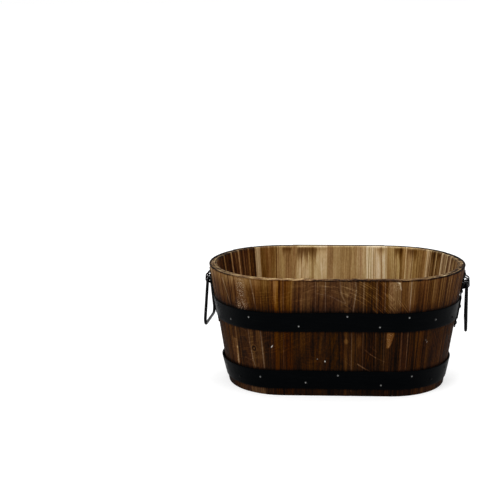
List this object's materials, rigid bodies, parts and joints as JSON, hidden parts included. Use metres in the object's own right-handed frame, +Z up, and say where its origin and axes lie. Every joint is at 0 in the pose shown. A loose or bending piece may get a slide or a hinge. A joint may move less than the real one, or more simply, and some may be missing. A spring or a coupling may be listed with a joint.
{
  "type": "wooden barrel planter",
  "caption": "Low oval tub of leaning wooden staves in two riveted steel hoops, with a boarded base with drain holes and a hanging rod bail on a strap at each end.",
  "frame": {"origin": "middle of the tub's foot, on the ground", "axes": "+X along the long axis towards the right end, +Z up, -Y towards the front of the picture"},
  "size_m": [0.437, 0.2496, 0.2],
  "materials": {
    "stave_wood": "scorched and brushed fir, matt",
    "base_wood": "sawn fir, matt",
    "hoop_paint": "black satin paint on steel strip",
    "nail_zinc": "zinc plated",
    "handle_enamel": "black gloss enamel on steel"
  },
  "bodies": {
    "tub": {"stave_01": "stave_wood", "stave_02": "stave_wood", "stave_03": "stave_wood", "stave_04": "stave_wood", "stave_05": "stave_wood", "stave_06": "stave_wood", "stave_07": "stave_wood", "stave_08": "stave_wood", "stave_09": "stave_wood", "stave_10": "stave_wood", "stave_11": "stave_wood", "stave_12": "stave_wood", "stave_13": "stave_wood", "stave_14": "stave_wood", "stave_15": "stave_wood", "stave_16": "stave_wood", "stave_17": "stave_wood", "stave_18": "stave_wood", "stave_19": "stave_wood", "stave_20": "stave_wood", "stave_21": "stave_wood", "stave_22": "stave_wood", "base_board_front": "base_wood", "base_board_middle": "base_wood", "base_board_back": "base_wood", "batten_left": "base_wood", "batten_right": "base_wood", "batten_nails": "nail_zinc", "upper_hoop": "hoop_paint", "upper_lap_rivets": "hoop_paint", "lower_hoop": "hoop_paint", "lower_lap_rivets": "hoop_paint", "upper_hoop_nails": "nail_zinc", "lower_hoop_nails": "nail_zinc", "strap_left": "handle_enamel", "strap_screws_left": "handle_enamel", "strap_right": "handle_enamel", "strap_screws_right": "handle_enamel"},
    "left_bail": {"bail_left": "handle_enamel"},
    "right_bail": {"bail_right": "handle_enamel"}
  },
  "joints": [
    {"name": "left_bail_swing", "type": "hinge", "parent": "tub", "child": "left_bail", "pos_m": [-0.21181, 0.01333, 0.16723], "axis": [0.1045, 0.9945, 0], "range_deg": [-8, 170]},
    {"name": "right_bail_swing", "type": "hinge", "parent": "tub", "child": "right_bail", "pos_m": [0.21181, -0.01333, 0.16723], "axis": [-0.1045, -0.9945, 0], "range_deg": [-8, 170]}
  ]
}
